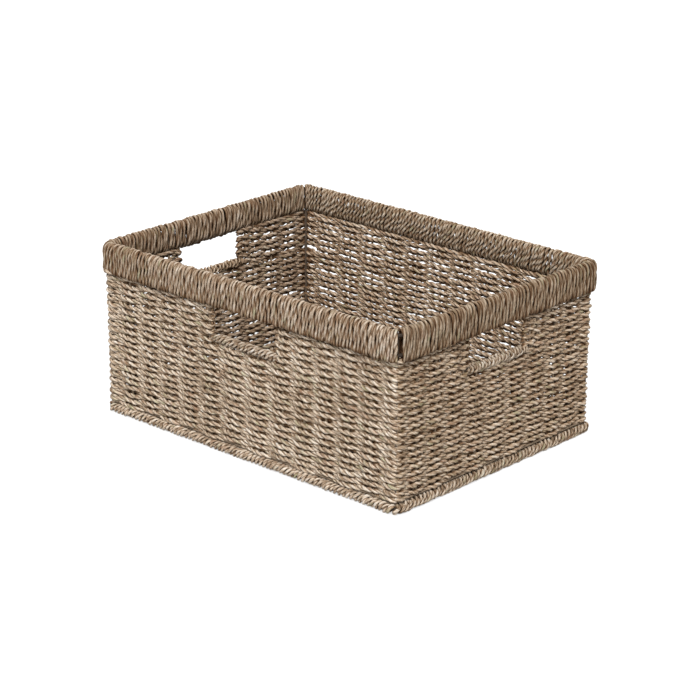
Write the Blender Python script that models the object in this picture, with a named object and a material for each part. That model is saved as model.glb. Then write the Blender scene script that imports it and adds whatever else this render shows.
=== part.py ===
"""Seagrass storage basket with three hand holes.

A welded wire frame is woven with twisted cord, and the same cord is wrapped round its rim, its
base edge and the rail under each hand hole. The woven and wrapped pieces are plain solids here,
with the true outer shape and a real channel for every wire.

X runs along the long side, Y points to the side with no hand hole and Z is up. The origin is the
centre of the base, on the floor. Lengths are in metres.
"""
import math

import bmesh
import bpy
from mathutils import Vector

# Overall size
LENGTH = 0.442
WIDTH = 0.331
HEIGHT = 0.200
FIT = 0.0003                     # gap left between two pieces that touch

# Wires
STAKE_R = 0.0014
HOOP_R = 0.0018
POST_R = 0.0020
GRID_R = 0.0012
WIRE_SIDES = 8

# Depths below are measured inwards from the rim's outer face
STAKE_DEPTH = 0.0090             # plane of the upright stakes
RIM_HOOP_DEPTH = 0.0054          # the hoops pass outside the stakes
BASE_HOOP_DEPTH = 0.0075
POST_DEPTH = 0.0104

# Wrapped rim
RIM_HEIGHT = 0.0320
RIM_THICK = 0.0145
RIM_CORNER_R = 0.0125
RIM_CHANNEL = (0.0033, 0.0107)   # depths of the channel that holds the hoops and the stake tips
RIM_CHANNEL_TOP = HEIGHT - 0.0045
UPPER_HOOP_Z = 0.1930
LOWER_HOOP_Z = 0.1722
STAKE_TOP = 0.1946

# Wrapped base edge
BASE_WRAP_R = 0.0054
BASE_CORNER_R = 0.0080
BASE_END_ANGLE = math.radians(41)

# Woven walls
WALL_HALF_THICK = 0.0060
WALL_CORNER_R = 0.0076
WALL_BOTTOM = 0.0142
WALL_TOP = HEIGHT - RIM_HEIGHT - 0.0005
CROSS_WIRE_Z = 0.0126

# Hand holes: front, left and right
HOLE_HALF = 0.0455
JAMB = 0.0540
RAIL_Z = 0.1275
RAIL_WRAP_R = 0.0054
RAIL_HALF = 0.0522

# Upright stakes along each side, measured from the middle
CUT_FRONT = (0.0180,)            # these stop at the rail
FRONT_STAKES = (0.0540, 0.0852, 0.1163, 0.1475, 0.1787)
BACK_STAKES = (0.0, 0.0349, 0.0698, 0.1047, 0.1396, 0.1745)
CUT_SHORT = (0.0, 0.0330)
SHORT_STAKES = (0.0670, 0.0970, 0.1260)

# Woven base and the grid of wires in it
BASE_TOP = 0.0104
BASE_CHAMFER = 0.0030
GRID_X = (0.0, 0.0700, 0.1400)
GRID_Y = (0.0, 0.0760)
GRID_Z = (0.0040, 0.0060)

SIDES = {"front": (0, -1), "right": (1, 0), "back": (0, 1), "left": (-1, 0)}

for item in list(bpy.data.objects):
    bpy.data.objects.remove(item, do_unlink=True)


def make_material(name, colour, metallic, roughness):
    mat = bpy.data.materials.new(name)
    mat.use_nodes = True
    shader = mat.node_tree.nodes["Principled BSDF"]
    shader.inputs["Base Color"].default_value = (*colour, 1.0)
    shader.inputs["Metallic"].default_value = metallic
    shader.inputs["Roughness"].default_value = roughness
    return mat


def steel(name):
    """A coated wire: tan on the uprights, dark brown on the frame."""
    upright = name.endswith("_stakes") or "_jamb_" in name
    return make_material(name, (0.20, 0.15, 0.10) if upright else (0.060, 0.048, 0.036), 0.2, 0.5)


def seagrass(name):
    return make_material(name, (0.36, 0.27, 0.18), 0.0, 0.85)


def both(values):
    """Mirror a tuple of distances about zero, in order."""
    return sorted({v for v in values} | {-v for v in values})


def add_object(name, bm, finish):
    """Turn a closed bmesh into a named object with its own material."""
    bmesh.ops.remove_doubles(bm, verts=bm.verts, dist=1e-5)
    bmesh.ops.triangulate(bm, faces=bm.faces, ngon_method="EAR_CLIP")
    bmesh.ops.recalc_face_normals(bm, faces=bm.faces)
    mesh = bpy.data.meshes.new(name)
    bm.to_mesh(mesh)
    bm.free()
    obj = bpy.data.objects.new(name, mesh)
    bpy.context.collection.objects.link(obj)
    if finish:
        obj.data.materials.append(finish(name))
    return obj


def loft(rings, closed):
    """Skin a list of equal rings of points; an open loft gets a face on each end."""
    bm = bmesh.new()
    loops = [[bm.verts.new(p) for p in ring] for ring in rings]
    count = len(rings[0])
    last = len(loops) if closed else len(loops) - 1
    for i in range(last):
        a, b = loops[i], loops[(i + 1) % len(loops)]
        for j in range(count):
            k = (j + 1) % count
            corner = [a[j], a[k], b[k], b[j]]
            if len({tuple(round(c, 7) for c in v.co) for v in corner}) > 2:
                bm.faces.new(corner)
    if not closed:
        bm.faces.new(loops[0])
        bm.faces.new(loops[-1])
    return bm


def boolean(obj, cutters, operation):
    """Apply one exact boolean per cutter and remove the cutters."""
    for cutter in cutters:
        cutter.hide_render = True
        cutter.display_type = "WIRE"
        modifier = obj.modifiers.new("cut", "BOOLEAN")
        modifier.operation = operation
        modifier.solver = "EXACT"
        modifier.object = cutter
        bpy.context.view_layer.update()
        graph = bpy.context.evaluated_depsgraph_get()
        result = bpy.data.meshes.new_from_object(obj.evaluated_get(graph))
        obj.modifiers.clear()
        obj.data = result
        bpy.data.objects.remove(cutter, do_unlink=True)


def finish_mesh(obj, finish):
    """Triangulate a boolean's result and give it its single material."""
    bm = bmesh.new()
    bm.from_mesh(obj.data)
    bmesh.ops.remove_doubles(bm, verts=bm.verts, dist=2e-5)
    bmesh.ops.dissolve_degenerate(bm, edges=bm.edges, dist=2e-5)
    bmesh.ops.triangulate(bm, faces=bm.faces)
    bm.to_mesh(obj.data)
    bm.free()
    obj.data.materials.clear()
    obj.data.materials.append(finish(obj.name))
    for polygon in obj.data.polygons:
        polygon.material_index = 0


def wire(name, start, end, radius, finish=steel, sides=WIRE_SIDES):
    """A straight round wire between two points."""
    start, end = Vector(start), Vector(end)
    along = (end - start).normalized()
    across = Vector((1, 0, 0)) if abs(along.z) > 0.9 else Vector((0, 0, 1))
    other = along.cross(across)
    turn = math.pi / sides
    rings = []
    for centre in (start, end):
        rings.append([centre + radius * (math.cos(2 * math.pi * k / sides + turn) * across
                                         + math.sin(2 * math.pi * k / sides + turn) * other)
                      for k in range(sides)])
    return add_object(name, loft(rings, False), finish)


def box(name, low, high):
    """An axis-aligned cutter."""
    rings = [[(low[0], low[1], z), (high[0], low[1], z), (high[0], high[1], z), (low[0], high[1], z)]
             for z in (low[2], high[2])]
    return add_object(name, loft(rings, False), None)


def along_side(side, s, depth, z):
    """A point on one side: s from its middle, depth in from the rim's outer face."""
    nx, ny = SIDES[side]
    half = (LENGTH if nx else WIDTH) / 2 - depth
    return (nx * half - ny * s, ny * half + nx * s, z)


def half_length(side):
    return (WIDTH if SIDES[side][0] else LENGTH) / 2


def side_stations(side, depth, outer_depth, corner_r, gap, steps=5):
    """Points along one side at a depth, each end running round the corner to its mitre plane.

    corner_r is the plan radius at outer_depth. Deeper lines turn more tightly, and those past the
    corner's centre stay straight.
    """
    half = half_length(side)
    radius = corner_r - (depth - outer_depth)
    start = half - outer_depth - corner_r - 0.0060
    centre = half - outer_depth - corner_r
    end = []
    if radius * math.sin(math.pi / 4) > gap:
        last = math.pi / 4 - math.asin(gap / 2 / radius)
        for k in range(steps + 1):
            angle = last * k / steps
            end.append((centre + radius * math.sin(angle), depth + radius * (1 - math.cos(angle))))
    else:
        stop = half - depth - gap / math.sqrt(2)
        for k in range(steps + 1):
            end.append((start + (stop - start) * (k + 1) / (steps + 1), depth))
    end.insert(0, (start, depth))
    return [(-s, d) for s, d in reversed(end)] + end


def mitred_run(name, side, profile, outer_depth, corner_r, gap, finish):
    """Sweep a (depth, z) profile along one side between its two corner mitres."""
    lines = [[along_side(side, s, d, z) for s, d in
              side_stations(side, depth, outer_depth, corner_r, gap)] for depth, z in profile]
    rings = [[line[k] for line in lines] for k in range(len(lines[0]))]
    return add_object(name, loft(rings, False), finish)


def corner_posts(prefix, radius, low, high, finish):
    x, y = LENGTH / 2 - POST_DEPTH, WIDTH / 2 - POST_DEPTH
    posts = []
    for label, sx, sy in (("front_left", -1, -1), ("front_right", 1, -1),
                          ("back_right", 1, 1), ("back_left", -1, 1)):
        posts.append(wire(prefix + label, (sx * x, sy * y, low), (sx * x, sy * y, high), radius, finish))
    return posts


def hoop(name, depth, corner_r, z):
    """A closed wire hoop with rounded corners."""
    path = []
    for sx, sy, first in ((1, 1, 0), (-1, 1, 1), (-1, -1, 2), (1, -1, 3)):
        cx = sx * (LENGTH / 2 - depth - corner_r)
        cy = sy * (WIDTH / 2 - depth - corner_r)
        for k in range(7):
            angle = (first + k / 6) * math.pi / 2
            path.append((Vector((cx, cy, z)), Vector((math.cos(angle), math.sin(angle), 0))))
    rings = []
    for centre, out in path:
        ring = []
        for k in range(WIRE_SIDES):
            angle = 2 * math.pi * (k + 0.5) / WIRE_SIDES
            ring.append(centre + out * (corner_r + HOOP_R * math.cos(angle))
                        + Vector((0, 0, HOOP_R * math.sin(angle))))
        rings.append(ring)
    return add_object(name, loft(rings, True), steel)


def wrapped_tube(name, rings_of_centres, radius, hole, sides=12):
    """A tube open at both ends. Each station is (centre, outward direction)."""
    bm = bmesh.new()
    loops = []
    for centre, out in rings_of_centres:
        pair = []
        for r in (radius, hole):
            pair.append([bm.verts.new(Vector(centre) + out * r * math.cos(2 * math.pi * (k + 0.5) / sides)
                                      + Vector((0, 0, r * math.sin(2 * math.pi * (k + 0.5) / sides))))
                         for k in range(sides)])
        loops.append(pair)
    for a, b in zip(loops, loops[1:]):
        for layer in (0, 1):
            for k in range(sides):
                n = (k + 1) % sides
                bm.faces.new([a[layer][k], a[layer][n], b[layer][n], b[layer][k]])
    for outer, inner in (loops[0], loops[-1]):
        for k in range(sides):
            n = (k + 1) % sides
            bm.faces.new([outer[k], outer[n], inner[n], inner[k]])
    return add_object(name, bm, seagrass)


def rim_profile():
    """The rim's section as (depth, z): an upturned channel with a rounded top."""
    low, half = HEIGHT - RIM_HEIGHT, RIM_THICK / 2
    points = [(RIM_CHANNEL[0], low), (0.0010, low), (0.0, low + 0.0015)]
    for k in range(11):
        angle = math.pi * k / 10
        points.append((half - half * math.cos(angle), HEIGHT - half + half * math.sin(angle)))
    points += [(RIM_THICK, low + 0.0015), (RIM_THICK - 0.0010, low), (RIM_CHANNEL[1], low),
               (RIM_CHANNEL[1], RIM_CHANNEL_TOP), (RIM_CHANNEL[0], RIM_CHANNEL_TOP)]
    return points


def wall_profile():
    outer, inner = STAKE_DEPTH - WALL_HALF_THICK, STAKE_DEPTH + WALL_HALF_THICK
    return [(outer, WALL_BOTTOM), (outer, WALL_TOP), (inner, WALL_TOP), (inner, WALL_BOTTOM)]


def stake_plan(side):
    """(position, top) for every upright wire of one side."""
    cut_top = RAIL_Z - RAIL_WRAP_R - 0.0005
    if side == "back":
        return [(s, STAKE_TOP) for s in both(BACK_STAKES)]
    cut, full = (CUT_FRONT, FRONT_STAKES) if side == "front" else (CUT_SHORT, SHORT_STAKES)
    return [(s, cut_top) for s in both(cut)] + [(s, STAKE_TOP) for s in both(full)]


def build_stakes(side):
    """A comb: upright wires welded to a cross wire just above the base wrap."""
    reach = half_length(side) - POST_DEPTH - POST_R - 2 * FIT
    comb = wire(side + "_stakes", along_side(side, -reach, STAKE_DEPTH, CROSS_WIRE_Z),
                along_side(side, reach, STAKE_DEPTH, CROSS_WIRE_Z), GRID_R)
    uprights = [wire("upright", along_side(side, s, STAKE_DEPTH, CROSS_WIRE_Z),
                     along_side(side, s, STAKE_DEPTH, top), STAKE_R, None)
                for s, top in stake_plan(side)]
    boolean(comb, uprights, "UNION")
    finish_mesh(comb, steel)


def build_wall(side):
    """A woven panel with a channel for every upright and, on three sides, the hand hole."""
    wall = mitred_run(side + "_weave", side, wall_profile(), STAKE_DEPTH - WALL_HALF_THICK,
                      WALL_CORNER_R, FIT, seagrass)
    channel = STAKE_R + 0.00045
    cutters = [wire("channel", along_side(side, s, STAKE_DEPTH, 0.0),
                    along_side(side, s, STAKE_DEPTH, HEIGHT), channel, None)
               for s, top in stake_plan(side)]
    cutters += corner_posts("groove_", POST_R + 0.00045, 0.0, HEIGHT, None)
    if side != "back":
        outside, inside = 0.0, 2 * STAKE_DEPTH
        for reach, low, high in ((HOLE_HALF, RAIL_Z + RAIL_WRAP_R + 0.0003, HEIGHT),
                                 (RAIL_HALF + FIT, RAIL_Z - RAIL_WRAP_R - FIT, RAIL_Z + RAIL_WRAP_R + FIT)):
            a = along_side(side, -reach, outside, low)
            b = along_side(side, reach, inside, high)
            cutters.append(box("notch", [min(p) for p in zip(a, b)], [max(p) for p in zip(a, b)]))
    if side in ("left", "right"):
        cutters += [wire("channel", along_side(side, s, STAKE_DEPTH, RAIL_Z - 0.0096),
                         along_side(side, s, STAKE_DEPTH, HEIGHT), channel, None) for s in (-JAMB, JAMB)]
    boolean(wall, cutters, "DIFFERENCE")
    finish_mesh(wall, seagrass)


def build_hand_hole(side):
    """The rail wire and its wrap, and on a short side the two jamb posts."""
    ends = [along_side(side, s, STAKE_DEPTH, RAIL_Z) for s in (-RAIL_HALF, RAIL_HALF)]
    wire(side + "_rail_wire", ends[0], ends[1], HOOP_R)
    out = Vector((*SIDES[side], 0))
    wrapped_tube(side + "_rail_wrap", [(end, out) for end in ends], RAIL_WRAP_R, HOOP_R + 0.00045)
    if side in ("left", "right"):
        for label, s in (("near", -JAMB), ("far", JAMB)):
            s = s if side == "right" else -s
            wire(side + "_jamb_" + label, along_side(side, s, STAKE_DEPTH, RAIL_Z - 0.0093),
                 along_side(side, s, STAKE_DEPTH, STAKE_TOP), STAKE_R)


def build_rim(side):
    rim = mitred_run(side + "_rim_wrap", side, rim_profile(), 0.0, RIM_CORNER_R, 0.0010, seagrass)
    boolean(rim, corner_posts("groove_", POST_R + 0.00045, 0.0, RIM_CHANNEL_TOP, None), "DIFFERENCE")
    finish_mesh(rim, seagrass)


def build_base_wrap(side):
    """The wrap on one side of the base hoop, ending just short of the next at each corner."""
    straight = half_length(side) - BASE_HOOP_DEPTH - BASE_CORNER_R
    nx, ny = SIDES[side]
    out, forward = Vector((nx, ny, 0)), Vector((-ny, nx, 0))
    stations = []
    for sign in (-1, 1):
        for k in range(5):
            angle = sign * BASE_END_ANGLE * (4 - k if sign < 0 else k) / 4
            direction = out * math.cos(angle) + forward * math.sin(angle)
            centre = Vector(along_side(side, sign * straight, BASE_HOOP_DEPTH + BASE_CORNER_R, BASE_WRAP_R))
            stations.append((centre + direction * BASE_CORNER_R, direction))
    wrapped_tube(side + "_base_wrap", stations, BASE_WRAP_R, HOOP_R + 0.00045)


def grid_wires(radius, reach):
    """The two layers of straight wires under the base weave, as loose pieces."""
    wires = []
    for x in both(GRID_X):
        wires.append(wire("grid", (x, -WIDTH * reach, GRID_Z[0]), (x, WIDTH * reach, GRID_Z[0]), radius, None))
    for y in both(GRID_Y):
        wires.append(wire("grid", (-LENGTH * reach, y, GRID_Z[1]), (LENGTH * reach, y, GRID_Z[1]), radius, None))
    return wires


def build_base():
    half_x = LENGTH / 2 - BASE_HOOP_DEPTH - BASE_WRAP_R - FIT
    half_y = WIDTH / 2 - BASE_HOOP_DEPTH - BASE_WRAP_R - FIT
    cut = BASE_CHAMFER
    outline = [(half_x, cut - half_y), (half_x, half_y - cut), (half_x - cut, half_y),
               (cut - half_x, half_y), (-half_x, half_y - cut), (-half_x, cut - half_y),
               (cut - half_x, -half_y), (half_x - cut, -half_y)]
    weave = add_object("base_weave", loft([[(x, y, z) for x, y in outline] for z in (0.0, BASE_TOP)], False),
                       seagrass)
    boolean(weave, grid_wires(GRID_R + 0.0004, 0.55), "DIFFERENCE")
    finish_mesh(weave, seagrass)

    pieces = grid_wires(GRID_R, 0.455)
    grid = pieces[0]
    grid.name = "base_grid"
    boolean(grid, pieces[1:], "UNION")
    finish_mesh(grid, steel)


hoop("upper_rim_hoop", RIM_HOOP_DEPTH, RIM_CORNER_R - RIM_HOOP_DEPTH, UPPER_HOOP_Z)
hoop("lower_rim_hoop", RIM_HOOP_DEPTH, RIM_CORNER_R - RIM_HOOP_DEPTH, LOWER_HOOP_Z)
hoop("base_hoop", BASE_HOOP_DEPTH, BASE_CORNER_R, BASE_WRAP_R)
corner_posts("corner_post_", POST_R, 2 * BASE_WRAP_R + FIT, STAKE_TOP, steel)
for name in SIDES:
    build_stakes(name)
    build_wall(name)
    build_rim(name)
    build_base_wrap(name)
    if name != "back":
        build_hand_hole(name)
build_base()
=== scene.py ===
"""Looks of the seagrass storage basket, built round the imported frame.

Every strand is real geometry: a two-ply twisted cord swept along the path it takes in the basket. Lengths are
in metres. Side walls are named front (-Y), right (+X), back (+Y) and left (-X), as in the frame.
"""

import math

import bpy
import numpy as np
from mathutils import Matrix, Vector


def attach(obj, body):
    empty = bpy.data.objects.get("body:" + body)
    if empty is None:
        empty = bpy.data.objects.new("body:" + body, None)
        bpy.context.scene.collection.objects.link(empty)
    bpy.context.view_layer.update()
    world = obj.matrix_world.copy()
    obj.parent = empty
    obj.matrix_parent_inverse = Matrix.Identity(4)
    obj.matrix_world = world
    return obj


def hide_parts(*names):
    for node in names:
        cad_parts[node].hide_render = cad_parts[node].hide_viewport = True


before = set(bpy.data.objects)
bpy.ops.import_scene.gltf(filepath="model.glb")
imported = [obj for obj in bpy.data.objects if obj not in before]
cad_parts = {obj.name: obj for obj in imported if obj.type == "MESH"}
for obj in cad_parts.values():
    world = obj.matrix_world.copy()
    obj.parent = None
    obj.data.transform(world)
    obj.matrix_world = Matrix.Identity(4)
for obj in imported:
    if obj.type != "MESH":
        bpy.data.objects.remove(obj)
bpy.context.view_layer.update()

BODY = "root"

# The frame, as the CAD has it.
LENGTH, WIDTH = 0.442, 0.331
STAKE_X, STAKE_Y = 0.2120, 0.1565
HOOP_X, HOOP_Y = 0.2135, 0.1580
CUT_FRONT = (0.0180,)
FRONT_STAKES = (0.0540, 0.0852, 0.1163, 0.1475, 0.1787)
BACK_STAKES = (0.0, 0.0349, 0.0698, 0.1047, 0.1396, 0.1745)
CUT_SHORT = (0.0, 0.0330)
SHORT_STAKES = (0.0670, 0.0970, 0.1260)
JAMB = 0.0540
RAIL_Z = {"front": 0.1272, "right": 0.1258, "left": 0.1288}
SIDES = {"front": (0, -1), "right": (1, 0), "back": (0, 1), "left": (-1, 0)}

# The cord.
PLY_RADIUS = 0.00168
PLY_OFFSET = 0.00102
WALL_TWIST = 0.0205
# The distance between the rings of a sweep, and the vertices of a ring.
STEP = 0.0015
RING = 12
# The distance between the points of a path, before its sweep.
PATH_STEP = 0.0008
# Cord that would sink into the floor is flattened on it.
GROUND = 0.0001

# The weave of the walls.
CORNER_R = 0.0048
SWING = 0.0023
ROW_PITCH = 0.00361
FIRST_ROW_Z = 0.0122
LOWER_TURNS = 30
UPPER_ROWS = 12
UPPER_TOP_Z = 0.1655
# Row heights are set at this many places round the basket.
NODES_ROUND = 72
# How much higher the last turn of the spiral lies at its start, at the middle of each side and at its end.
LIFT = (0.0014, 0.0034, 0.0014, -0.0002, 0.0002, 0.0014)
# Rows lower than this are one piece for each side, and the others another.
SPLIT_Z = 0.080
# How far a corner stands out, by the side that it ends, for all rows and for the top one.
CORNER_BULGE = {"left": 0.0020, "front": 0.0, "right": 0.0, "back": 0.0}
TOP_BULGE = {"left": 0.0036, "front": 0.0012, "right": 0.0026, "back": 0.0012}
BULGE_WIDTH = 0.012
# How close to a corner post a row has to be to pass outside it.
POST_WIDTH = 0.006
# How much thinner the cord is between two stakes than where it crosses one.
SLACK = {"left": 0.00, "front": 0.20, "right": 0.20, "back": 0.24}

# The rim.
RIM_CORNER_R = 0.0125
RIM_OUTER, RIM_INNER = 0.0022, 0.0123
RIM_FOOT_Z, RIM_INNER_FOOT_Z, RIM_SHOULDER_Z = 0.1664, 0.1736, 0.1880
# The heights between which the middle of the rim's section lies.
RIM_MIDDLE_Z = (0.1735, 0.1880)
RIM_SAMPLES = 56
# Per side: the pitch of the turns, the length of a full twist, and how far along the side a turn has come at
# its outer shoulder, its inner shoulder and its inner foot.
RIM_TURNS = {
    "front": (0.0048, 0.031, (-0.0010, -0.0030, -0.0040)),
    "right": (0.0056, 0.044, (-0.0004, -0.0014, -0.0044)),
    "back": (0.0049, 0.017, (-0.0034, -0.0065, -0.0020)),
    "left": (0.0052, 0.040, (-0.0010, -0.0030, -0.0032)),
}
# Half the gap between two sides' turns, at the near corner and at the others.
FRONT_GAP = 0.0020
OTHER_GAP = 0.0012

# The base edge, the rails and the base.
EDGE_CORNER_R = 0.0045
EDGE_Z = 0.0054
RAIL_REACH = 0.0500
RAIL_DEPTH = 0.0088
BASE_ROW = 0.0043
BASE_END_X, BASE_END_Y = 0.2062, 0.1528
BASE_Z = 0.0052
BASE_SWING = 0.0027
BASE_LOOP = 0.0022
CROSS_WIRES = 0.035

rng = np.random.default_rng(496)
KNOTS = rng.uniform(-1, 1, 8192)


def wander(x, scale, seed):
    """Smooth noise from -1 to 1 that changes over about scale metres."""
    t = np.asarray(x, float) / scale + seed * 131.7
    i = np.floor(t).astype(int)
    f = t - i
    f = f * f * (3 - 2 * f)
    return KNOTS[i % len(KNOTS)] * (1 - f) + KNOTS[(i + 1) % len(KNOTS)] * f


def blurred(values, sigma):
    """values smoothed along their first axis by a bell curve of sigma samples."""
    half = int(3 * sigma + 1)
    k = np.exp(-0.5 * (np.arange(-half, half + 1) / sigma) ** 2)
    k /= k.sum()
    padded = np.concatenate([np.repeat(values[:1], half, 0), values, np.repeat(values[-1:], half, 0)])
    out = np.zeros_like(values)
    for j, weight in enumerate(k):
        out += weight * padded[j : j + len(values)]
    return out


def resampled(points, others, step):
    """points at even steps along their length, with the rows of others carried along."""
    gaps = np.linalg.norm(np.diff(points, axis=0), axis=1)
    along = np.concatenate([[0], np.cumsum(gaps)])
    at = np.linspace(0, along[-1], max(int(along[-1] / step), 3) + 1)
    columns = [np.interp(at, along, c) for c in points.T]
    moved = [np.stack([np.interp(at, along, c) for c in np.atleast_2d(o.T)], 1) for o in others]
    return np.stack(columns, 1), moved, at


# ---------------------------------------------------------------------------------------------- cord sweeps


def section():
    """The cord's section, two round plies side by side, anticlockwise from the upper crease."""
    left = [(-PLY_OFFSET + PLY_RADIUS * math.cos(a), PLY_RADIUS * math.sin(a))
            for a in np.radians((74, 127, 180, 233, 286))]
    right = [(PLY_OFFSET + PLY_RADIUS * math.cos(a), PLY_RADIUS * math.sin(a))
             for a in np.radians((-106, -53, 0, 53, 106))]
    crease = math.sqrt(PLY_RADIUS**2 - PLY_OFFSET**2) * 0.72
    return np.array([(0, crease), *left, (0, -crease), *right])


def sweep(points, side, out, seed, rise=None, reach=None, twist=WALL_TWIST, high=None, deep=0.90, size=1.0,
          step=STEP):
    """A twisted cord along points.

    side is the direction across the cord that lies in the surface of the weave, and high and deep squash the
    cord along it and across it. out points away from the surface's middle, which is rise behind the cord's
    middle, and reach is how far the foremost cords stand out there. Together they give each vertex's recess,
    which the material paints as shade.
    """
    zero = np.zeros(len(points))
    high = zero + 1 if high is None else high
    rise = zero if rise is None else rise
    reach = zero if reach is None else reach
    points, (side, out, high, rise, reach), at = resampled(points, (side, out, high, rise, reach), step)
    high, rise, reach = high[:, 0], rise[:, 0], reach[:, 0]
    n = len(points)
    tangent = np.gradient(points, axis=0)
    tangent /= np.linalg.norm(tangent, axis=1)[:, None]
    # b runs across the cord in the surface, and a out of it.
    b = side - (side * tangent).sum(1)[:, None] * tangent
    b /= np.linalg.norm(b, axis=1)[:, None]
    a = np.cross(b, tangent)
    turn = 2 * math.pi * (at / twist + 0.20 * wander(at, 0.035, seed) + 0.50 * wander(at, 0.21, seed + 7))
    turn += rng.uniform(0, 2 * math.pi)
    shape = section()
    p = np.repeat(shape[None, :, 0], n, 0)
    q = np.repeat(shape[None, :, 1], n, 0)
    for ply, picked in ((1, slice(1, 6)), (2, slice(7, 12))):
        swell = 1 + 0.13 * wander(at, 0.010, seed + 20 * ply) + 0.10 * wander(at, 0.0035, seed + 33 * ply)
        p[:, picked] *= swell[:, None]
        q[:, picked] *= swell[:, None]
    thick = size * (1.01 + 0.07 * wander(at, 0.045, seed + 3) + 0.05 * wander(at, 0.012, seed + 5))
    cos, sin = np.cos(turn)[:, None], np.sin(turn)[:, None]
    x = (p * cos - q * sin) * deep * thick[:, None]
    y = (p * sin + q * cos) * (high * thick)[:, None]
    rings = points[:, None] + x[..., None] * a[:, None] + y[..., None] * b[:, None]
    rings += 0.00007 * rng.standard_normal((n, RING, 1)) * (rings - points[:, None]) / 0.002
    tone = np.full(n, rng.uniform(0, 1)) + 0.25 * wander(at, 0.09, seed + 50)
    out /= np.linalg.norm(out, axis=1)[:, None]
    # How far each vertex lies back, kept only to paint shade into the cord's colour.
    depth = rise[:, None] + ((rings - points[:, None]) * out[:, None]).sum(-1)
    crest = (PLY_RADIUS + 0.6 * PLY_OFFSET) * size
    # A weave has a face on both sides, and a wrap only on the outside.
    if reach.any():
        recess = reach[:, None] + crest - np.abs(depth)
    else:
        recess = crest - depth
    return {"rings": rings, "at": at + rng.uniform(0, 50), "tone": tone, "recess": recess}


def part_of(cord, first, last):
    """Rings first to last of a sweep, both included."""
    return {k: v[first : last + 1] for k, v in cord.items()}


def cut_up(cord, group):
    """The sweep's parts by group, one number a ring. Neighbouring parts share a ring, so that they meet."""
    parts = {}
    edges = np.flatnonzero(np.diff(group)) + 1
    for first, last in zip([0, *edges], [*edges, len(group) - 1]):
        if last - first >= 2:
            parts.setdefault(int(group[first]), []).append(part_of(cord, first, last))
    return parts


def cord_piece(name, sweeps, node):
    """One object of every sweep, in place of a node of the frame.

    It has closed ends, a UV map along the cord, and one laid out in strips of equal length."""
    verts, loops, starts = [], [], []
    cord_uv, strip_uv = [], []
    tones, hollows = [], []
    smooth = []
    total = sum(len(s["at"]) - 1 for s in sweeps)
    circumference = 0.0125
    strips = max(1, math.ceil(math.sqrt(total * STEP / circumference)))
    per_strip = math.ceil(total / strips)
    base = done = count = 0
    for s in sweeps:
        n = len(s["at"])
        verts.append(np.maximum(s["rings"].reshape(-1, 3), (-np.inf, -np.inf, GROUND)))
        tones.append(np.repeat(s["tone"], RING))
        # Recess in millimetres, which the material paints as shade.
        hollows.append(s["recess"].reshape(-1) * 1000)
        i, j = np.meshgrid(np.arange(n - 1), np.arange(RING), indexing="ij")
        k = (j + 1) % RING
        quad = np.stack([i * RING + j, i * RING + k, (i + 1) * RING + k, (i + 1) * RING + j], -1) + base
        loops.append(quad.reshape(-1))
        starts.append(count + 4 * np.arange((n - 1) * RING))
        u0, u1 = s["at"][i], s["at"][i + 1]
        v0, v1 = j / RING, (j + 1) / RING
        cord_uv.append(np.stack([u0, v0, u0, v1, u1, v1, u1, v0], -1).reshape(-1))
        # The strips of the second map, one above the other, with a narrow margin at their ends and edges.
        strip, place = (done + i) // per_strip, (done + i) % per_strip
        x0, x1 = (place + 0.02) / per_strip, (place + 0.98) / per_strip
        x0 = 0.004 + 0.992 * np.where(place > 0, place / per_strip, x0)
        x1 = 0.004 + 0.992 * np.where(place < per_strip - 1, (place + 1) / per_strip, x1)
        y0, y1 = (strip + 0.06 + 0.88 * v0) / strips, (strip + 0.06 + 0.88 * v1) / strips
        strip_uv.append(np.stack([x0, y0, x0, y1, x1, y1, x1, y0], -1).reshape(-1))
        count += 4 * (n - 1) * RING
        smooth.append(np.ones((n - 1) * RING, bool))
        # A flat cap on either end.
        for ring, order in ((0, -1), (n - 1, 1)):
            loops.append(np.arange(RING)[::order] + ring * RING + base)
            starts.append([count])
            at = s["at"][ring]
            cap = np.stack([np.full(RING, at), np.linspace(0, 1, RING, endpoint=False)[::order]], -1)
            cord_uv.append(cap.reshape(-1))
            edge = min(ring, n - 2)
            spot = np.array([x0[edge, 0], y0[edge, 0]])
            strip_uv.append(np.tile(spot, RING))
            count += RING
            smooth.append([False])
        base += n * RING
        done += n - 1
    verts, loops, starts = np.concatenate(verts), np.concatenate(loops), np.concatenate(starts)
    me = bpy.data.meshes.new(name)
    me.vertices.add(len(verts))
    me.vertices.foreach_set("co", verts.astype(np.float32).ravel())
    me.loops.add(len(loops))
    me.loops.foreach_set("vertex_index", loops.astype(np.int32))
    me.polygons.add(len(starts))
    me.polygons.foreach_set("loop_start", starts.astype(np.int32))
    me.polygons.foreach_set("use_smooth", np.concatenate(smooth))
    me.update(calc_edges=True)
    for layer, uv in (("cord", cord_uv), ("OFBake", strip_uv)):
        me.uv_layers.new(name=layer).data.foreach_set("uv", np.concatenate(uv).astype(np.float32))
    me.uv_layers.active = me.uv_layers["cord"]
    me.uv_layers["cord"].active_render = True
    for layer, values in (("tone", tones), ("hollow", hollows)):
        held = me.attributes.new(layer, "FLOAT", "POINT")
        held.data.foreach_set("value", np.concatenate(values).astype(np.float32))
    me.materials.append(looks[node])
    piece = bpy.data.objects.new(name, me)
    bpy.context.scene.collection.objects.link(piece)
    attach(piece, BODY)
    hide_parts(node)


# ---------------------------------------------------------------------------------------------- materials


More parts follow.
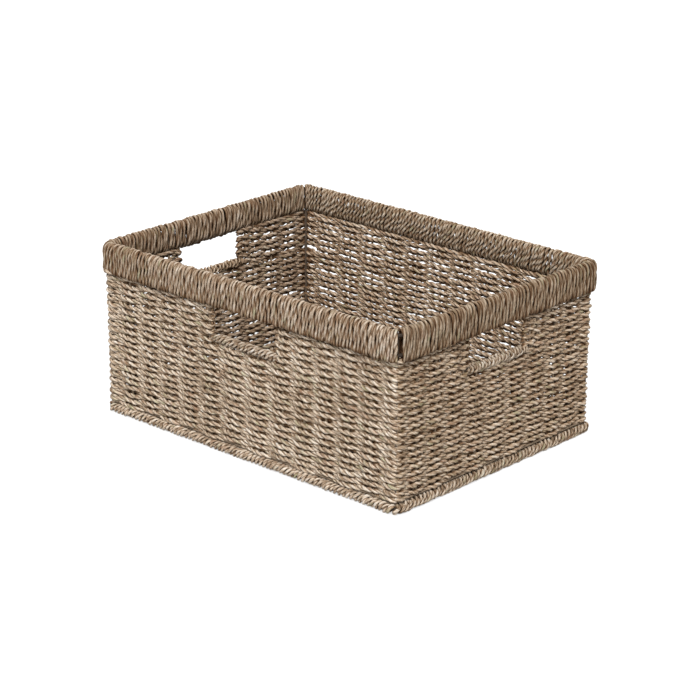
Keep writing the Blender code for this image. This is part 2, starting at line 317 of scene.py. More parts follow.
class Nodes:
    """Short calls for building a material's node tree."""

    def __init__(self, name):
        self.material = bpy.data.materials.new(name)
        self.material.use_nodes = True
        self.tree = self.material.node_tree
        self.shader = self.tree.nodes["Principled BSDF"]

    def add(self, kind, **options):
        node = self.tree.nodes.new("ShaderNode" + kind)
        for key, value in options.items():
            setattr(node, key, value)
        return node

    def link(self, source, target):
        if isinstance(source, (int, float, tuple)):
            target.default_value = source
        else:
            self.tree.links.new(source, target)

    def math(self, operation, a, b=0.0, c=0.0):
        node = self.add("Math", operation=operation)
        for value, socket in zip((a, b, c), node.inputs):
            self.link(value, socket)
        return node.outputs[0]

    def vector(self, x, y, z):
        node = self.add("CombineXYZ")
        for value, socket in zip((x, y, z), node.inputs):
            self.link(value, socket)
        return node.outputs[0]

    def noise(self, vector, scale, detail=2.0, rough=0.5):
        node = self.add("TexNoise")
        self.link(vector, node.inputs["Vector"])
        for key, value in (("Scale", scale), ("Detail", detail), ("Roughness", rough)):
            node.inputs[key].default_value = value
        return node.outputs["Fac"]

    def ramp(self, factor, stops):
        node = self.add("ValToRGB")
        elements = node.color_ramp.elements
        while len(elements) < len(stops):
            elements.new(0.5)
        for element, (position, colour) in zip(elements, stops):
            element.position = position
            element.color = (*colour, 1) if isinstance(colour, tuple) else (colour, colour, colour, 1)
        self.link(factor, node.inputs["Fac"])
        return node.outputs["Color"]

    def mix(self, factor, a, b, blend="MIX"):
        node = self.add("Mix", data_type="RGBA", blend_type=blend)
        self.link(factor, node.inputs[0])
        for value, socket in ((a, node.inputs[6]), (b, node.inputs[7])):
            self.link((*value, 1) if isinstance(value, tuple) else value, socket)
        return node.outputs[2]


def seagrass(name, seed, tint, shade_from, shade_to, grain):
    """Dry twisted seagrass: fibres along each ply, plies of different shades, stray warm and green blades,
    with painted shade in its creases and recesses.

    tint scales its colours, and carries the painted light and shade of its side of the basket. The next two
    arguments are the millimetres of recess over which painted shade turns it brown and dark.
    grain gives the strength of its fibres, blades, lengths and flecks, and the flecks' scale."""
    n = Nodes(name)
    fibres, blades, lengths, flecks, fleck_rate = grain
    broads = 0.16

    def coloured(rgb):
        return tuple(a * b for a, b in zip(rgb, tint))

    def stretched(along, across, third, detail, rough):
        """Noise that changes along times in a metre of cord."""
        return n.noise(n.vector(n.math("MULTIPLY", u, along), across, third), 1.0, detail, rough)

    uv = n.add("UVMap", uv_map="cord").outputs[0]
    split = n.add("SeparateXYZ")
    n.link(uv, split.inputs[0])
    u, v = split.outputs[0], split.outputs[1]
    tone = n.add("Attribute", attribute_name="tone").outputs["Fac"]
    ply = n.math("FLOOR", n.math("MULTIPLY", v, 2.0))
    shift = n.math("MULTIPLY_ADD", tone, 19.0, float(seed))
    lean = n.math("MULTIPLY_ADD", u, 60.0, n.math("MULTIPLY", v, 17.0))
    fibre = stretched(75.0, lean, shift, 2.0, 0.6)
    blade = stretched(48.0, n.math("MULTIPLY_ADD", v, 7.0, n.math("MULTIPLY", ply, 31.0)), shift, 2.0, 0.55)
    length = stretched(17.0, n.math("MULTIPLY", ply, 7.3), shift, 1.0, 0.5)
    fleck = stretched(fleck_rate, n.math("MULTIPLY_ADD", v, 10.0, lean), shift, 1.0, 0.5)
    place = n.add("TexCoord").outputs["Object"]
    broad = n.noise(place, 14.0, 2.0, 0.5)

    shade = n.math("MULTIPLY_ADD", fibre, fibres, n.math("MULTIPLY", blade, blades))
    shade = n.math("MULTIPLY_ADD", length, lengths, shade)
    shade = n.math("MULTIPLY_ADD", broad, broads, shade)
    shade = n.math("MULTIPLY_ADD", fleck, flecks, shade)
    shade = n.math("SUBTRACT", shade, (fibres + blades + lengths + broads + flecks) / 2 - 0.51)
    colour = n.ramp(shade, [(at, coloured(rgb)) for at, rgb in (
        (0.27, (0.070, 0.038, 0.019)),
        (0.38, (0.210, 0.138, 0.083)),
        (0.48, (0.360, 0.268, 0.184)),
        (0.57, (0.540, 0.430, 0.320)),
        (0.70, (0.630, 0.561, 0.477)),
    )])
    warm = stretched(40.0, n.math("MULTIPLY_ADD", ply, 11.0, v), n.math("ADD", shift, 40.0), 2.0, 0.6)
    colour = n.mix(n.ramp(warm, [(0.58, 0.0), (0.70, 0.54)]), colour, coloured((0.26, 0.140, 0.080)))
    green = stretched(33.0, n.math("MULTIPLY_ADD", ply, 5.0, v), n.math("ADD", shift, 90.0), 2.0, 0.6)
    colour = n.mix(n.ramp(green, [(0.58, 0.0), (0.74, 0.60)]), colour, coloured((0.30, 0.29, 0.165)))
    # Painted shade in the fine grooves between the blades of each ply.
    bend = n.math("MULTIPLY_ADD", v, 6 * math.pi, n.math("MULTIPLY", blade, 5.0))
    fold = n.math("ABSOLUTE", n.math("SINE", bend))
    crease = n.ramp(fold, [(0.0, (0.66, 0.60, 0.54)), (0.55, (1.0, 1.0, 1.0))])
    colour = n.mix(1.0, colour, crease, "MULTIPLY")
    # Painted shade in the two creases between the plies.
    ridge = n.math("ABSOLUTE", n.math("SINE", n.math("MULTIPLY", v, 2 * math.pi)))
    ply_crease_shade = n.ramp(ridge, [(0.0, (0.40, 0.27, 0.17)), (0.6, (1.0, 1.0, 1.0))])
    colour = n.mix(1.0, colour, ply_crease_shade, "MULTIPLY")
    # Painted shade: the further a vertex lies back in the weave, the browner and darker its colour.
    hollow = n.add("Attribute", attribute_name="hollow").outputs["Fac"]
    shade_amount = n.math("DIVIDE", n.math("SUBTRACT", hollow, shade_from), shade_to - shade_from)
    shaded = n.ramp(shade_amount, [(0.0, (1.0, 1.0, 1.0)), (0.5, (0.59, 0.49, 0.39)), (1.0, (0.27, 0.165, 0.090))])
    colour = n.mix(1.0, colour, shaded, "MULTIPLY")
    n.link(colour, n.shader.inputs["Base Color"])

    bump = n.add("Bump")
    bump.inputs["Strength"].default_value = 0.8
    bump.inputs["Distance"].default_value = 0.0004
    n.link(n.math("MULTIPLY_ADD", fibre, 1.0, n.math("MULTIPLY", blade, 0.8)), bump.inputs["Height"])
    n.link(bump.outputs[0], n.shader.inputs["Normal"])
    for key, value in (("Roughness", 0.72), ("Specular IOR Level", 0.08)):
        n.shader.inputs[key].default_value = value
    return n.material


def coated_steel(name, seed, shade):
    """Coated wire, with a mottled coat and small scuffs. shade is the coat's colour."""
    n = Nodes(name)
    place = n.add("TexCoord").outputs["Object"]
    mottle = n.noise(place, 130.0 + seed, 4.0, 0.6)
    scuff = n.noise(place, 900.0, 3.0, 0.7)
    stops = [(at, tuple(part * v for v in shade)) for at, part in ((0.30, 0.6), (0.55, 1.0), (0.75, 1.3))]
    worn = tuple(1.8 * v for v in shade)
    colour = n.mix(n.ramp(scuff, [(0.64, 0.0), (0.72, 0.6)]), n.ramp(mottle, stops), worn)
    n.link(colour, n.shader.inputs["Base Color"])
    for key, value in (("Roughness", 0.70), ("Specular IOR Level", 0.12)):
        n.shader.inputs[key].default_value = value
    return n.material


# ---------------------------------------------------------------------------------------------- walls


class Loop:
    """A rounded rectangle, followed anticlockwise from the left wall's back end, with the outward normal."""

    order = ("left", "front", "right", "back")

    def __init__(self, half_x, half_y, radius):
        self.half = {"left": half_y, "right": half_y, "front": half_x, "back": half_x}
        self.radius = radius
        self.start, self.corner = {}, {}
        at, points, normals = [], [], []
        s = 0.0
        for side in self.order:
            out = np.array(SIDES[side], float)
            along = np.array((-out[1], out[0]))
            depth = half_x if side in ("left", "right") else half_y
            run = self.half[side] - radius
            self.start[side] = s
            for t in np.linspace(-run, run, 40):
                at.append(s + t + run)
                points.append(out * depth + along * t)
                normals.append(out)
            s += 2 * run
            centre = out * (depth - radius) + along * run
            self.corner[side] = s + radius * math.pi / 4
            for angle in np.linspace(0, math.pi / 2, 13)[1:-1]:
                n = out * math.cos(angle) + along * math.sin(angle)
                at.append(s + radius * angle)
                points.append(centre + radius * n)
                normals.append(n)
            s += radius * math.pi / 2
        self.length = s
        at, points, normals = np.array(at), np.array(points), np.array(normals)
        self.at = np.concatenate([at, [s]])
        self.points = np.concatenate([points, points[:1]])
        self.normals = np.concatenate([normals, normals[:1]])

    def place(self, s):
        """(points, normals) in plan at the distances s."""
        s = np.mod(s, self.length)
        p = np.stack([np.interp(s, self.at, c) for c in self.points.T], 1)
        n = np.stack([np.interp(s, self.at, c) for c in self.normals.T], 1)
        return p, n / np.linalg.norm(n, axis=1)[:, None]

    def distance(self, side, c):
        """The distance of a point on a side. c is its x on the long walls and its y on the short ones."""
        t = c if side in ("front", "right") else -c
        return self.start[side] + self.half[side] - self.radius + t

    def side_of(self, s):
        """0 to 3 in the loop's order, with the corners split in the middle."""
        s = np.mod(s, self.length)
        return np.searchsorted([self.corner[k] for k in self.order], s) % 4


def both(values):
    """Each value and its mirror image, in order."""
    return sorted({v for value in values for v in (value, -value)})


wall = Loop(STAKE_X, STAKE_Y, CORNER_R)
NODE_AT = np.arange(NODES_ROUND + 1) * wall.length / NODES_ROUND
NODE_PART = np.arange(NODES_ROUND + 1) / NODES_ROUND


def stations(stakes):
    """Sorted distances of stakes, {side: positions}, with the corner posts."""
    found = [wall.distance(side, c) for side, cs in stakes.items() for c in cs]
    return np.array(sorted(found + [wall.corner[side] for side in wall.order]))


LOWER = stations({"front": both(CUT_FRONT + FRONT_STAKES), "back": both(BACK_STAKES),
                  "left": both(CUT_SHORT + SHORT_STAKES), "right": both(CUT_SHORT + SHORT_STAKES)})
# Above the rails, where the innermost stakes of the front wall serve as jambs.
UPPER = stations({"front": both(FRONT_STAKES[1:]), "back": both(BACK_STAKES),
                  "left": both(SHORT_STAKES), "right": both(SHORT_STAKES)})


def from_corner(s, side):
    """The signed distance from the corner that ends a side."""
    half = wall.length / 2
    return (s - wall.corner[side] + half) % wall.length - half


def row_heights(seed):
    """Heights of the spiral's turns and of the row that would follow them, one column a node."""
    steps = np.stack([1 + 0.19 * wander(NODE_AT, 0.045, r) + 0.07 * wander(NODE_AT, 0.5, r + 0.3)
                      for r in seed + np.arange(LOWER_TURNS)])
    # The last 6 nodes lead over to the first ones, so that each turn meets the next.
    fade = np.clip(np.arange(NODES_ROUND + 1) / 6 - (NODES_ROUND / 6 - 1), 0, 1)
    steps = steps * (1 - fade) + steps[:, :1] * fade
    steps *= LOWER_TURNS * ROW_PITCH / steps.sum(0)
    return np.concatenate([np.zeros((1, NODES_ROUND + 1)), np.cumsum(steps, 0)]) + FIRST_ROW_Z


def weave_swing(q):
    """Where the cord lies between the inside and outside of the stakes: 1 at even ones and -1 at odd ones."""
    wave = np.cos(math.pi * q)
    return np.sign(wave) * np.abs(wave) ** 1.1


def wall_pass(s, q, z, seed, calm=1.0):
    """A stretch of wall cord at distances s and stake counts q, with its swing cut down by calm.

    Gives its points, height factor, outward normals, distance out from the stakes, and the reach of the cords
    that pass in front of it."""
    p, n = wall.place(s)
    swing = weave_swing(q) * calm
    reach = SWING * np.abs(swing)
    # At a corner post every row passes outside.
    bulge = 0.0
    for side in wall.order:
        away = from_corner(s, side)
        near = np.exp(-((away / POST_WIDTH) ** 2))
        swing = swing * (1 - near) + near * np.maximum(swing, 0.45)
        bulge = bulge + CORNER_BULGE[side] * np.exp(-((away / BULGE_WIDTH) ** 2))
    off = SWING * swing * (1 + 0.15 * wander(s, 0.02, seed)) + 0.0004 * wander(s, 0.009, seed + 4) + bulge
    sag = 0.0006 * wander(s, 0.015, seed + 9) + 0.00035 * wander(s, 0.005, seed + 12)
    points = np.concatenate([p + n * off[:, None], (z + sag)[:, None]], 1)
    slack = np.array([SLACK[side] for side in wall.order])[wall.side_of(s)]
    high = 1.05 - slack * (1 - reach / SWING)
    return points, high, np.concatenate([n, np.zeros((len(n), 1))], 1), off, reach


def lower_weave():
    """The long cord that spirals up the wall below the hand holes.

    Gives its sweep, the distance of each ring, and the height of the topmost row at the nodes."""
    heights = row_heights(3)
    middles = [wall.distance(side, 0.0) for side in wall.order]
    lift = np.interp(NODE_AT, [0, *middles, wall.length], LIFT)
    heights += lift * (np.arange(LOWER_TURNS + 1)[:, None] / LOWER_TURNS) ** 3
    k = np.arange(LOWER_TURNS)[:, None]
    f = NODE_PART[None, :-1]
    at = ((k + f) * wall.length).ravel()
    z = (heights[:-1, :-1] * (1 - f) + heights[1:, :-1] * f).ravel()
    posts = (k * wall.length + LOWER[None]).ravel()
    s = np.arange(0.02, LOWER_TURNS * wall.length - 0.02, PATH_STEP)
    q = np.interp(s, posts, np.arange(len(posts)), left=-0.5, right=len(posts) - 0.5)
    points, high, out, rise, reach = wall_pass(s, q, np.interp(s, at, z), 5)
    points = blurred(points, 2.6)
    top_row = heights[-2] * (1 - NODE_PART) + heights[-1] * NODE_PART
    side = np.tile((0.0, 0.0, 1.0), (len(s), 1))
    cord = sweep(points, side, out, 11, rise, reach, high=high)
    _, (where,), _ = resampled(points, (s[:, None],), STEP)
    return cord, where[:, 0], top_row


def upper_weave(posts, past, first, top_row, seed):
    """Rows that run to and fro between two jambs, round the corner posts between them.

    posts are the distances of the jambs and the stations between them, and past is how far the turns reach
    beyond each jamb. first is the parity of the first row at the first jamb. top_row holds the heights at the
    nodes to start from."""
    a, b = posts[0], posts[-1]
    points, highs, dists, others = [], [], [], []
    past_a, past_b = past
    margin = 0.002
    grid = np.arange(a - past_a - margin, b + past_b + margin + 1e-9, PATH_STEP)
    nose = rng.uniform(-0.0009, 0.0009, UPPER_ROWS + 1)
    beyond = np.clip(np.maximum(a - grid, grid - b) / 0.004, 0, 1)
    calm = 1 - 0.6 * beyond * beyond * (3 - 2 * beyond)
    ground = np.interp(np.mod(grid, wall.length), NODE_AT, top_row)
    steps = np.stack([1 + 0.19 * wander(grid, 0.045, seed + r) for r in range(UPPER_ROWS)])
    steps *= (UPPER_TOP_Z - ground) / steps.sum(0)
    z_rows = ground + np.cumsum(steps, 0)
    for r in range(UPPER_ROWS):
        q = np.interp(grid, posts, np.arange(len(posts))) + r + first
        p, high, out, rise, reach = wall_pass(grid, q, z_rows[r], seed + 40 + r, calm)
        if r == UPPER_ROWS - 1:
            # The top row lies straight, under the rim's outer edge in front and its inner edge behind.
            shift = 0.0012 * (out[:, 0] - out[:, 1]) - 0.5 * SWING * weave_swing(q) * calm
            for side in wall.order:
                shift = shift + TOP_BULGE[side] * np.exp(-((from_corner(grid, side) / BULGE_WIDTH) ** 2))
            p[:, :2] += out[:, :2] * shift[:, None]
            rise = rise + shift
        forward = r % 2 == 0
        left = a - (past_a + (nose[r] if forward else nose[r + 1]))
        right = b + (past_b + (nose[r + 1] if forward else nose[r]))
        kept = (grid >= left) & (grid <= right)
        row_at, p, high, out, rise, reach = (v[kept] for v in (grid, p, high, out, rise, reach))
        if not forward:
            row_at, p, high, out, rise, reach = (v[::-1] for v in (row_at, p, high, out, rise, reach))
        points.append(p)
        highs.append(high)
        dists.append(row_at)
        others.append(np.concatenate([out, rise[:, None], reach[:, None]], 1))
        if r == UPPER_ROWS - 1:
            break
        # A half turn round the jamb, up to the next row.
        end = row_at[-1]
        c, n = (v[0] for v in wall.place(np.array([end])))
        along = np.array((-n[1], n[0])) * (1 if forward else -1)
        start_off = (p[-1, :2] - c) @ n
        next_q = np.interp(end, posts, np.arange(len(posts))) + r + 1 + first
        end_off = SWING * weave_swing(np.array([next_q]))[0] * np.interp(end, grid, calm)
        angle = np.linspace(0, math.pi, 15)[1:-1]
        off = (start_off * (1 + np.cos(angle)) + end_off * (1 - np.cos(angle))) / 2
        bend = SWING * np.sin(angle)
        z0, z1 = p[-1, 2], np.interp(end, grid, z_rows[r + 1])
        turn = c + n * off[:, None] + along * bend[:, None]
        z = z0 + (z1 - z0) * (1 - np.cos(angle)) / 2
        points.append(np.concatenate([turn, z[:, None]], 1))
        highs.append(np.ones(len(angle)))
        dists.append(np.full(len(angle), end))
        here = np.tile((*n, 0.0, 0.0, SWING), (len(angle), 1))
        here[:, 3] = off
        others.append(here)
    points, highs, dists, others = (np.concatenate(v) for v in (points, highs, dists, others))
    points, (highs, dists, others), _ = resampled(points, (highs[:, None], dists[:, None], others), PATH_STEP)
    points = blurred(points, 1.8)
    side = np.tile((0.0, 0.0, 1.0), (len(points), 1))
    cord = sweep(points, side, others[:, :3], seed + 70, others[:, 3], others[:, 4], high=highs[:, 0])
    _, (where,), _ = resampled(points, (dists,), STEP)
    return cord, where[:, 0]


# ---------------------------------------------------------------------------------------------- wraps


def out_to_face(side):
    """How far a side's outer face is from the middle of the basket."""
    return (LENGTH if side in ("left", "right") else WIDTH) / 2


def half_face(side):
    """Half the length of the rim's outer face along a side."""
    return (WIDTH if side in ("left", "right") else LENGTH) / 2


def local_to_world(side, t, depth, z):
    """World points from the distance along a side, the depth in from the rim's outer face, and the height."""
    out = np.array(SIDES[side], float)
    along = np.array((-out[1], out[0]))
    plan = out * (out_to_face(side) - depth)[:, None] + along * t[:, None]
    return np.concatenate([plan, z[:, None]], 1)


def rim_points(side, s, w, z):
    """Points of a rim wrap: s along the outer face round the corners, w from outer 0 to inner 1."""
    half = half_face(side)
    radius = RIM_CORNER_R - RIM_OUTER
    straight = half - RIM_CORNER_R
    past = np.maximum(np.abs(s) - straight, 0) / radius
    sign = np.sign(s)
    outer_t = np.where(past > 0, sign * (straight + radius * np.sin(past)), s)
    outer_d = np.where(past > 0, RIM_CORNER_R - radius * np.cos(past), RIM_OUTER)
    reach = straight + radius * math.pi / 4
    inner_t = s - sign * (reach - (half - RIM_INNER) + 0.0008) * (np.abs(s) / reach) ** 9
    t = outer_t + (inner_t - outer_t) * w
    d = outer_d + (RIM_INNER - outer_d) * w
    return local_to_world(side, t, d, z)


def rim_loop(samples):
    """(w, z) round the rim's section from the outer foot, up, over, down inside and under.

    Also the parts of the way round at the outer foot, both shoulders, the inner foot and the end."""
    foot, inner_foot, shoulder = RIM_FOOT_Z, RIM_INNER_FOOT_Z, RIM_SHOULDER_Z
    top, under = 0.0099, 0.0024
    up = [(0.0, foot + (shoulder - foot) * i / 20) for i in range(20)]
    over = [(0.5 - 0.5 * math.cos(a), shoulder + top * math.sin(a)) for a in np.linspace(0, math.pi, 16)[:-1]]
    down = [(1.0, shoulder + (inner_foot - shoulder) * i / 20) for i in range(20)]
    back = [(0.5 + 0.5 * math.cos(a), (foot + inner_foot) / 2 + (inner_foot - foot) / 2 * math.cos(a)
             - under * math.sin(a)) for a in np.linspace(0, math.pi, 12)]
    loop = np.array(up + over + down + back)
    scaled = loop * (RIM_INNER - RIM_OUTER, 1)
    along = np.concatenate([[0], np.cumsum(np.linalg.norm(np.diff(scaled, axis=0), axis=1))])
    marks = along[[0, 20, 35, 55, len(loop) - 1]] / along[-1]
    at = np.linspace(0, 1, samples, endpoint=False)
    return np.stack([np.interp(at, along / along[-1], c) for c in loop.T], 1), marks


def rim_wrap(side, seed, gap_low, gap_high):
    """The close turns round the rim of one side."""
    spacing, twist, offsets = RIM_TURNS[side]
    half = half_face(side)
    reach = half - RIM_CORNER_R + (RIM_CORNER_R - RIM_OUTER) * math.pi / 4
    low, high = -reach + gap_low, reach - gap_high
    turns = round((high - low) / spacing)
    pitch = 1 + 0.15 * wander(np.arange(turns) * 0.01, 0.013, seed) + 0.08 * rng.uniform(-1, 1, turns)
    starts = high - np.cumsum([0, *pitch[:-1] / pitch.sum() * (high - low)])
    loop, marks = rim_loop(RIM_SAMPLES)
    u = np.arange(turns * RIM_SAMPLES) / RIM_SAMPLES
    i = np.arange(turns)
    # A turn leans along the side on its way over the rim, but stands upright at the corners.
    shift = 0.0012 * wander(starts, 0.03, seed + 4) + 0.0007 * rng.uniform(-1, 1, turns)
    lean = np.clip((half - 0.012 - np.abs(starts)) / 0.02, 0, 1)
    knots = (i[:, None] + marks[None, :4]).ravel()
    values = np.stack([starts, *(starts + lean * (shift + o) for o in offsets)], 1).ravel()
    s = np.clip(np.interp(u, knots, values), low, high)
    w, z = loop[np.arange(turns * RIM_SAMPLES) % RIM_SAMPLES].T
    # The outer feet of the turns hang down unevenly.
    hang = 0.0020 * rng.uniform(0, 1, turns).repeat(RIM_SAMPLES)
    hang = hang * np.clip((0.174 - z) / 0.008, 0, 1) * (w < 0.4)
    bob = 0.0004 * wander(u * 0.07, 0.07, seed + 11) - hang
    points = blurred(rim_points(side, s, w, z + bob), 1.1)
    middle = rim_points(side, s, 0 * w + 0.5, np.clip(z, *RIM_MIDDLE_Z))
    out = np.array(SIDES[side], float)
    along = np.tile((-out[1], out[0], 0.0), (len(points), 1))
    # Painted shade under the turns: their feet, below 167.8 mm, count as up to 0.9 mm further back, so they
    # are painted darker.
    foot_shade = 0.0009 * np.clip((0.1678 - points[:, 2]) / 0.0018, 0, 1)
    broad = (0.30 + 150 * spacing) * (1 + 0.13 * wander(u, 0.9, seed + 9))
    return sweep(points, along, points - middle, seed + 30, rise=-foot_shade, twist=twist, high=broad, deep=0.78,
                 size=0.95)


def ring_wrap(wire, length, pitch, radius, seed, size, twist, lean=0.0, bow=0.0, tapered=False):
    """Close turns round a wire. wire(s) gives its middle, outward normal and tangent at the distances s."""
    turns = round(length / pitch)
    samples = 20
    u = np.arange(turns * samples + 1) / samples
    angle = 2 * math.pi * u
    s = u / turns * length
    s = s + lean * np.sin(angle) + bow * np.abs(np.cos(angle)) + 0.0004 * wander(u * 0.01, 0.01, seed)
    s = np.clip(s, 0, length)
    c, n, t = wire(s)
    r = radius * (1 + 0.07 * wander(u * 0.01, 0.006, seed + 2))
    if tapered:
        r = r * (0.5 + 0.5 * np.clip(np.minimum(s, length - s) / 0.012, 0, 1))
    points = c + n * (r * np.cos(angle))[:, None]
    points[:, 2] += r * np.sin(angle)
    high = np.full(len(points), 0.92)
    return sweep(points, t, points - c, seed + 8, twist=twist, high=high, deep=0.80, size=size, step=0.0012)


def rail_wire(side):
    """The wire(s) function of the rail under a side's hand hole."""
    out = np.array((*SIDES[side], 0.0), float)
    along = np.array((-out[1], out[0], 0.0))
    foot = out * (out_to_face(side) - RAIL_DEPTH) + np.array((0, 0, RAIL_Z[side]))

    def wire(s):
        ones = np.ones((len(s), 1))
        return foot + along * (s - RAIL_REACH)[:, None], out * ones, along * ones

    return wire


edge = Loop(HOOP_X, HOOP_Y, EDGE_CORNER_R)


def edge_wire(s):
    """The middle, outward normal and tangent of the base hoop at the distances s."""
    def raised(plan, z):
        return np.pad(plan, ((0, 0), (0, 1)), constant_values=z)

    p, n = edge.place(s)
    return raised(p, EDGE_Z), raised(n, 0.0), raised(np.stack([-n[:, 1], n[:, 0]], 1), 0.0)


def base_weave():
    """Rows to and fro along the basket, over and under cross wires."""
    rows = int(2 * BASE_END_Y / BASE_ROW)
    x = np.arange(-BASE_END_X, BASE_END_X + 1e-9, 0.0010)
    points = []
    for r in range(rows):
        y = -BASE_END_Y + (r + 0.5) * 2 * BASE_END_Y / rows + 0.0004 * wander(x, 0.05, 900 + r)
        z = BASE_Z + BASE_SWING * np.cos(math.pi * (x / CROSS_WIRES + r))
        row = np.stack([x, y, z], 1)
        row = row if r % 2 == 0 else row[::-1]
        points.append(row)
        if r < rows - 1:
            turn = np.linspace(0, math.pi, 9)[1:-1]
            sign = 1 if r % 2 == 0 else -1
            y0, z0 = row[-1, 1], row[-1, 2]
            turn_x = sign * (BASE_END_X + BASE_LOOP * np.sin(turn))
            turn_y = y0 + (2 * BASE_END_Y / rows) * (1 - np.cos(turn)) / 2
            points.append(np.stack([turn_x, turn_y, BASE_Z + (z0 - BASE_Z) * np.cos(turn)], 1))
    points, _, _ = resampled(np.concatenate(points), (), 0.001)
    points = blurred(points, 1.5)
    side = np.tile((0.0, 1.0, 0.0), (len(points), 1))
    up = np.tile((0.0, 0.0, 1.0), (len(points), 1))
    rise = points[:, 2] - BASE_Z
    return sweep(points, side, up, 950, rise, np.abs(rise) + 0.0004, step=0.0022)


# ---------------------------------------------------------------------------------------------- assembly

# Per woven node: the brightness of its grass, its balance of red, green and blue, and the recesses, in
# millimetres, over which painted shade turns it brown. The brightness is partly the grass's own and partly
# painted light and shade: the sides other than the front are set darker, the right and left most, as if less
# lit.
GRASS = {
    "front_weave": (0.690, (1.0, 1.03, 1.07), (1.5, 4.4)),
    "right_weave": (0.580, (1.0, 0.98, 0.96), (1.3, 3.9)),
    "back_weave": (0.588, (1.0, 0.962, 0.938), (1.5, 4.4)),
    "left_weave": (0.482, (1.0, 0.95, 0.92), (1.5, 4.4)),
    "front_rim_wrap": (0.572, (1.0, 1.035, 1.10), (0.57, 2.35)),
    "right_rim_wrap": (0.405, (1.0, 0.985, 0.965), (0.57, 2.35)),
    "back_rim_wrap": (0.560, (1.0, 1.035, 1.08), (0.57, 2.35)),
    "left_rim_wrap": (0.474, (1.0, 0.995, 1.01), (0.57, 2.35)),
    "front_base_wrap": (0.665, (1.0, 1.035, 1.085), (1.2, 4.5)),
    "right_base_wrap": (0.505, (1.0, 1.01, 1.03), (1.0, 3.7)),
    "front_rail_wrap": (0.600, (1.0, 1.05, 1.12), (0.9, 3.0)),
    "right_rail_wrap": (0.500, (1.0, 1.03, 1.07), (0.9, 3.0)),
}
OTHER_GRASS = (0.580, (1.0, 1.0, 1.0), (0.8, 2.8))
# The strength of fibres, blades, lengths and flecks, and the flecks' scale, in the weaves and in the rim.
GRAIN = (0.56, 0.42, 0.36, 0.50, 370.0)
RIM_GRAIN = (0.32, 0.14, 0.28, 0.36, 400.0)
# The coats of stakes and jambs, of the corner posts, and of the hoops, rails and grid.
UPRIGHT_COAT = (0.150, 0.110, 0.075)
POST_COAT = (0.052, 0.037, 0.026)
FRAME_COAT = (0.024, 0.017, 0.012)


def steel_coat(node):
    """The colour of a steel node's coat."""
    if node.endswith("_stakes") or "_jamb_" in node:
        return UPRIGHT_COAT
    return POST_COAT if node.startswith("corner_post_") else FRAME_COAT


looks = {}
for index, node in enumerate(sorted(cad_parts)):
    if node.endswith(("_weave", "_wrap")):
        albedo_and_side_shade, balance, hollows = GRASS.get(node, OTHER_GRASS)
        tint = tuple(albedo_and_side_shade * part for part in balance)
        grain = RIM_GRAIN if node.endswith("_rim_wrap") else GRAIN
        looks[node] = seagrass(node + "_grass", 7.0 * index, tint, *hollows, grain)
    else:
        looks[node] = coated_steel(node + "_steel", 3.0 * index, steel_coat(node))
        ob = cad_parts[node]
        if not ob.material_slots:
            ob.data.materials.append(looks[node])
        for held in ob.material_slots:
            held.material = looks[node]

# Walls below the hand holes.
cord, where, top_row = lower_weave()
by_piece = cut_up(cord, wall.side_of(where) + 4 * (cord["rings"].mean(1)[:, 2] > SPLIT_Z))


def first_parity(posts, post):
    """The parity of the first row at the first jamb, with which it alternates with the row below at post."""
    below = (LOWER_TURNS - 1) * len(LOWER) + int(np.argmin(np.abs(LOWER - post % wall.length)))
    return (below + 1 - int(np.argmin(np.abs(posts - post)))) % 2


# Walls between the hand holes: the jambs that each stretch begins and ends at, how far its turns reach beyond
# them, and its seed. The first corner on a stretch is the one that ends its first side.
UPPER_STRETCHES = (
    (("left", -JAMB), ("front", -JAMB), (0.0028, 0.0043), 200),
    (("front", JAMB), ("right", -JAMB), (0.0072, 0.0052), 300),
    (("right", JAMB), ("left", JAMB), (0.0098, 0.0118), 400),
)
for start, end, past, seed in UPPER_STRETCHES:
    a, b = wall.distance(*start), wall.distance(*end)
    if b < a:
        b = b + wall.length
    posts = np.array([a, *(d for d in (*UPPER, *(UPPER + wall.length)) if a < d < b), b])
    cord, where = upper_weave(posts, past, first_parity(posts, wall.corner[start[0]]), top_row, seed)
    for key, parts in cut_up(cord, wall.side_of(where) + 4).items():
        by_piece.setdefault(key, []).extend(parts)

for key, sweeps in sorted(by_piece.items()):
    side = wall.order[key % 4]
    cord_piece(f"{side}_weave_{'upper' if key > 3 else 'lower'}", sweeps, side + "_weave")

# Rim.
for k, side in enumerate(("front", "right", "back", "left")):
    low = FRONT_GAP if side == "right" else OTHER_GAP
    high = FRONT_GAP if side == "front" else OTHER_GAP
    cord_piece(f"{side}_rim_turns", [rim_wrap(side, 600 + 37 * k, low, high)], side + "_rim_wrap")

# Base edge: one run of turns round the base hoop, cut at the corners.
cord = ring_wrap(edge_wire, edge.length, pitch=0.0057, radius=0.0037, seed=801, size=1.10, twist=0.016,
                 lean=0.0008)
spread = np.linspace(0, edge.length, len(cord["at"]))
for key, parts in cut_up(cord, edge.side_of(spread)).items():
    cord_piece(f"{edge.order[key]}_base_turns", parts, edge.order[key] + "_base_wrap")

# Rails under the hand holes, each with the lean and the bow of its turns.
RAIL_TURNS = (("front", 0.0014, 0.0), ("right", 0.0, 0.0024), ("left", 0.0010, 0.0))
for k, (side, lean, bow) in enumerate(RAIL_TURNS):
    cord = ring_wrap(rail_wire(side), 2 * RAIL_REACH, pitch=0.0052, radius=0.0035, seed=850 + 9 * k, size=1.02,
                     twist=0.014, lean=lean, bow=bow, tapered=True)
    cord_piece(f"{side}_rail_turns", [cord], side + "_rail_wrap")

# Base.
cord = base_weave()
halves = (cord["rings"].mean(1)[:, 1] > 0).astype(int)
for key, parts in cut_up(cord, halves).items():
    cord_piece(("base_weave_front", "base_weave_back")[key], parts, "base_weave")

# ---------------------------------------------------------------------------------------------- studio


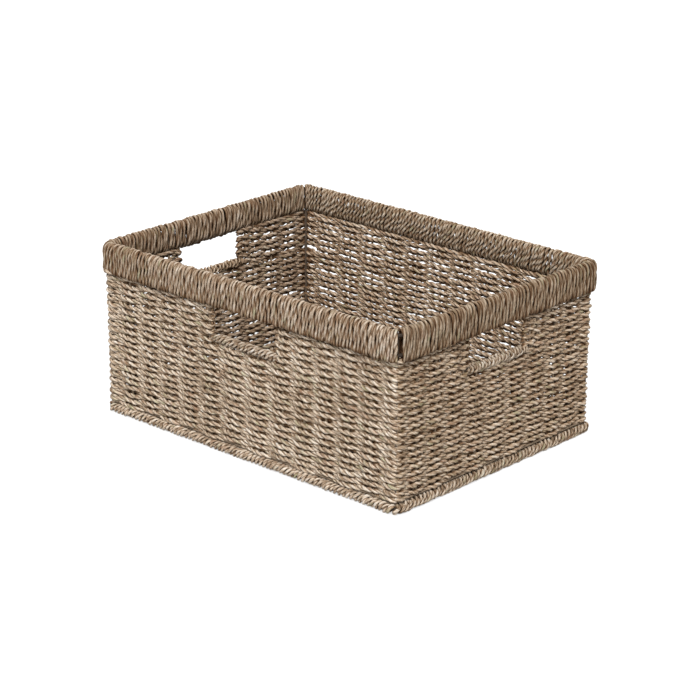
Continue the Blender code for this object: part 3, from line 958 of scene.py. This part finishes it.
def pale_floor():
    """A grey that glows a little, so that it comes out white round the basket and still takes its shadow."""
    n = Nodes("pale_floor")
    for key, value in (("Base Color", (0.26, 0.26, 0.26, 1)), ("Emission Color", (1, 1, 1, 1)),
                       ("Emission Strength", 0.58), ("Roughness", 0.9), ("Specular IOR Level", 0.1)):
        n.shader.inputs[key].default_value = value
    return n.material


FLOOR_HALF, FLOOR_Z = 6.0, -0.0002
floor_mesh = bpy.data.meshes.new("floor")
corners = [(FLOOR_HALF * x, FLOOR_HALF * y, FLOOR_Z) for x, y in ((-1, -1), (1, -1), (1, 1), (-1, 1))]
floor_mesh.from_pydata(corners, [], [(0, 1, 2, 3)])
floor_mesh.materials.append(pale_floor())
floor = bpy.data.objects.new("floor", floor_mesh)
bpy.context.scene.collection.objects.link(floor)

world = bpy.data.worlds.new("studio")
world.use_nodes = True
sky = world.node_tree.nodes["Background"]
sky.inputs["Color"].default_value = (1, 1, 1, 1)
sky.inputs["Strength"].default_value = 0.45
bpy.context.scene.world = world


def soft_sun(name, source, strength, spread):
    """A broad, even light from the direction of source, spread degrees wide."""
    lamp = bpy.data.lights.new(name, "SUN")
    lamp.energy = strength
    lamp.angle = math.radians(spread)
    ob = bpy.data.objects.new(name, lamp)
    ob.rotation_euler = (-Vector(source)).to_track_quat("-Z", "Y").to_euler()
    bpy.context.scene.collection.objects.link(ob)


soft_sun("key_light", (0.50, -0.78, 0.95), 5.9, 32)
soft_sun("side_light", (0.95, -0.30, 1.0), 1.3, 24)
soft_sun("top_light", (0.0, 0.1, 1.0), 1.1, 80)
soft_sun("back_light", (-0.60, 0.75, 0.75), 1.7, 50)

# Camera, fitted to the rim's and the base's corners. Its place is given along its own axes, in the units of
# that fit, which SPAN turns into metres.
AZIMUTH, ELEVATION, ROLL = math.radians(42.5981), math.radians(19.9174), math.radians(0.3133)
SPAN = 0.430
CAMERA_BACK, CAMERA_RIGHT, CAMERA_UP = 6.2618, 0.0091, 0.1822
level = math.cos(ELEVATION)
back = Vector((math.sin(AZIMUTH) * level, -math.cos(AZIMUTH) * level, math.sin(ELEVATION)))
right = (-back).cross(Vector((0, 0, 1))).normalized()
up = right.cross(-back)
cam_x = right * math.cos(ROLL) + up * math.sin(ROLL)
cam_y = -right * math.sin(ROLL) + up * math.cos(ROLL)
eye = back * CAMERA_BACK * SPAN + cam_x * CAMERA_RIGHT * SPAN + cam_y * CAMERA_UP * SPAN
camera_data = bpy.data.cameras.new("camera")
camera_data.lens = 124.24
camera_data.sensor_width = 36.0
camera = bpy.data.objects.new("camera", camera_data)
camera.matrix_world = Matrix((
    (cam_x.x, cam_y.x, back.x, eye.x),
    (cam_x.y, cam_y.y, back.y, eye.y),
    (cam_x.z, cam_y.z, back.z, eye.z),
    (0, 0, 0, 1),
))
bpy.context.scene.collection.objects.link(camera)
bpy.context.scene.camera = camera
bpy.context.scene.view_settings.view_transform = "Standard"
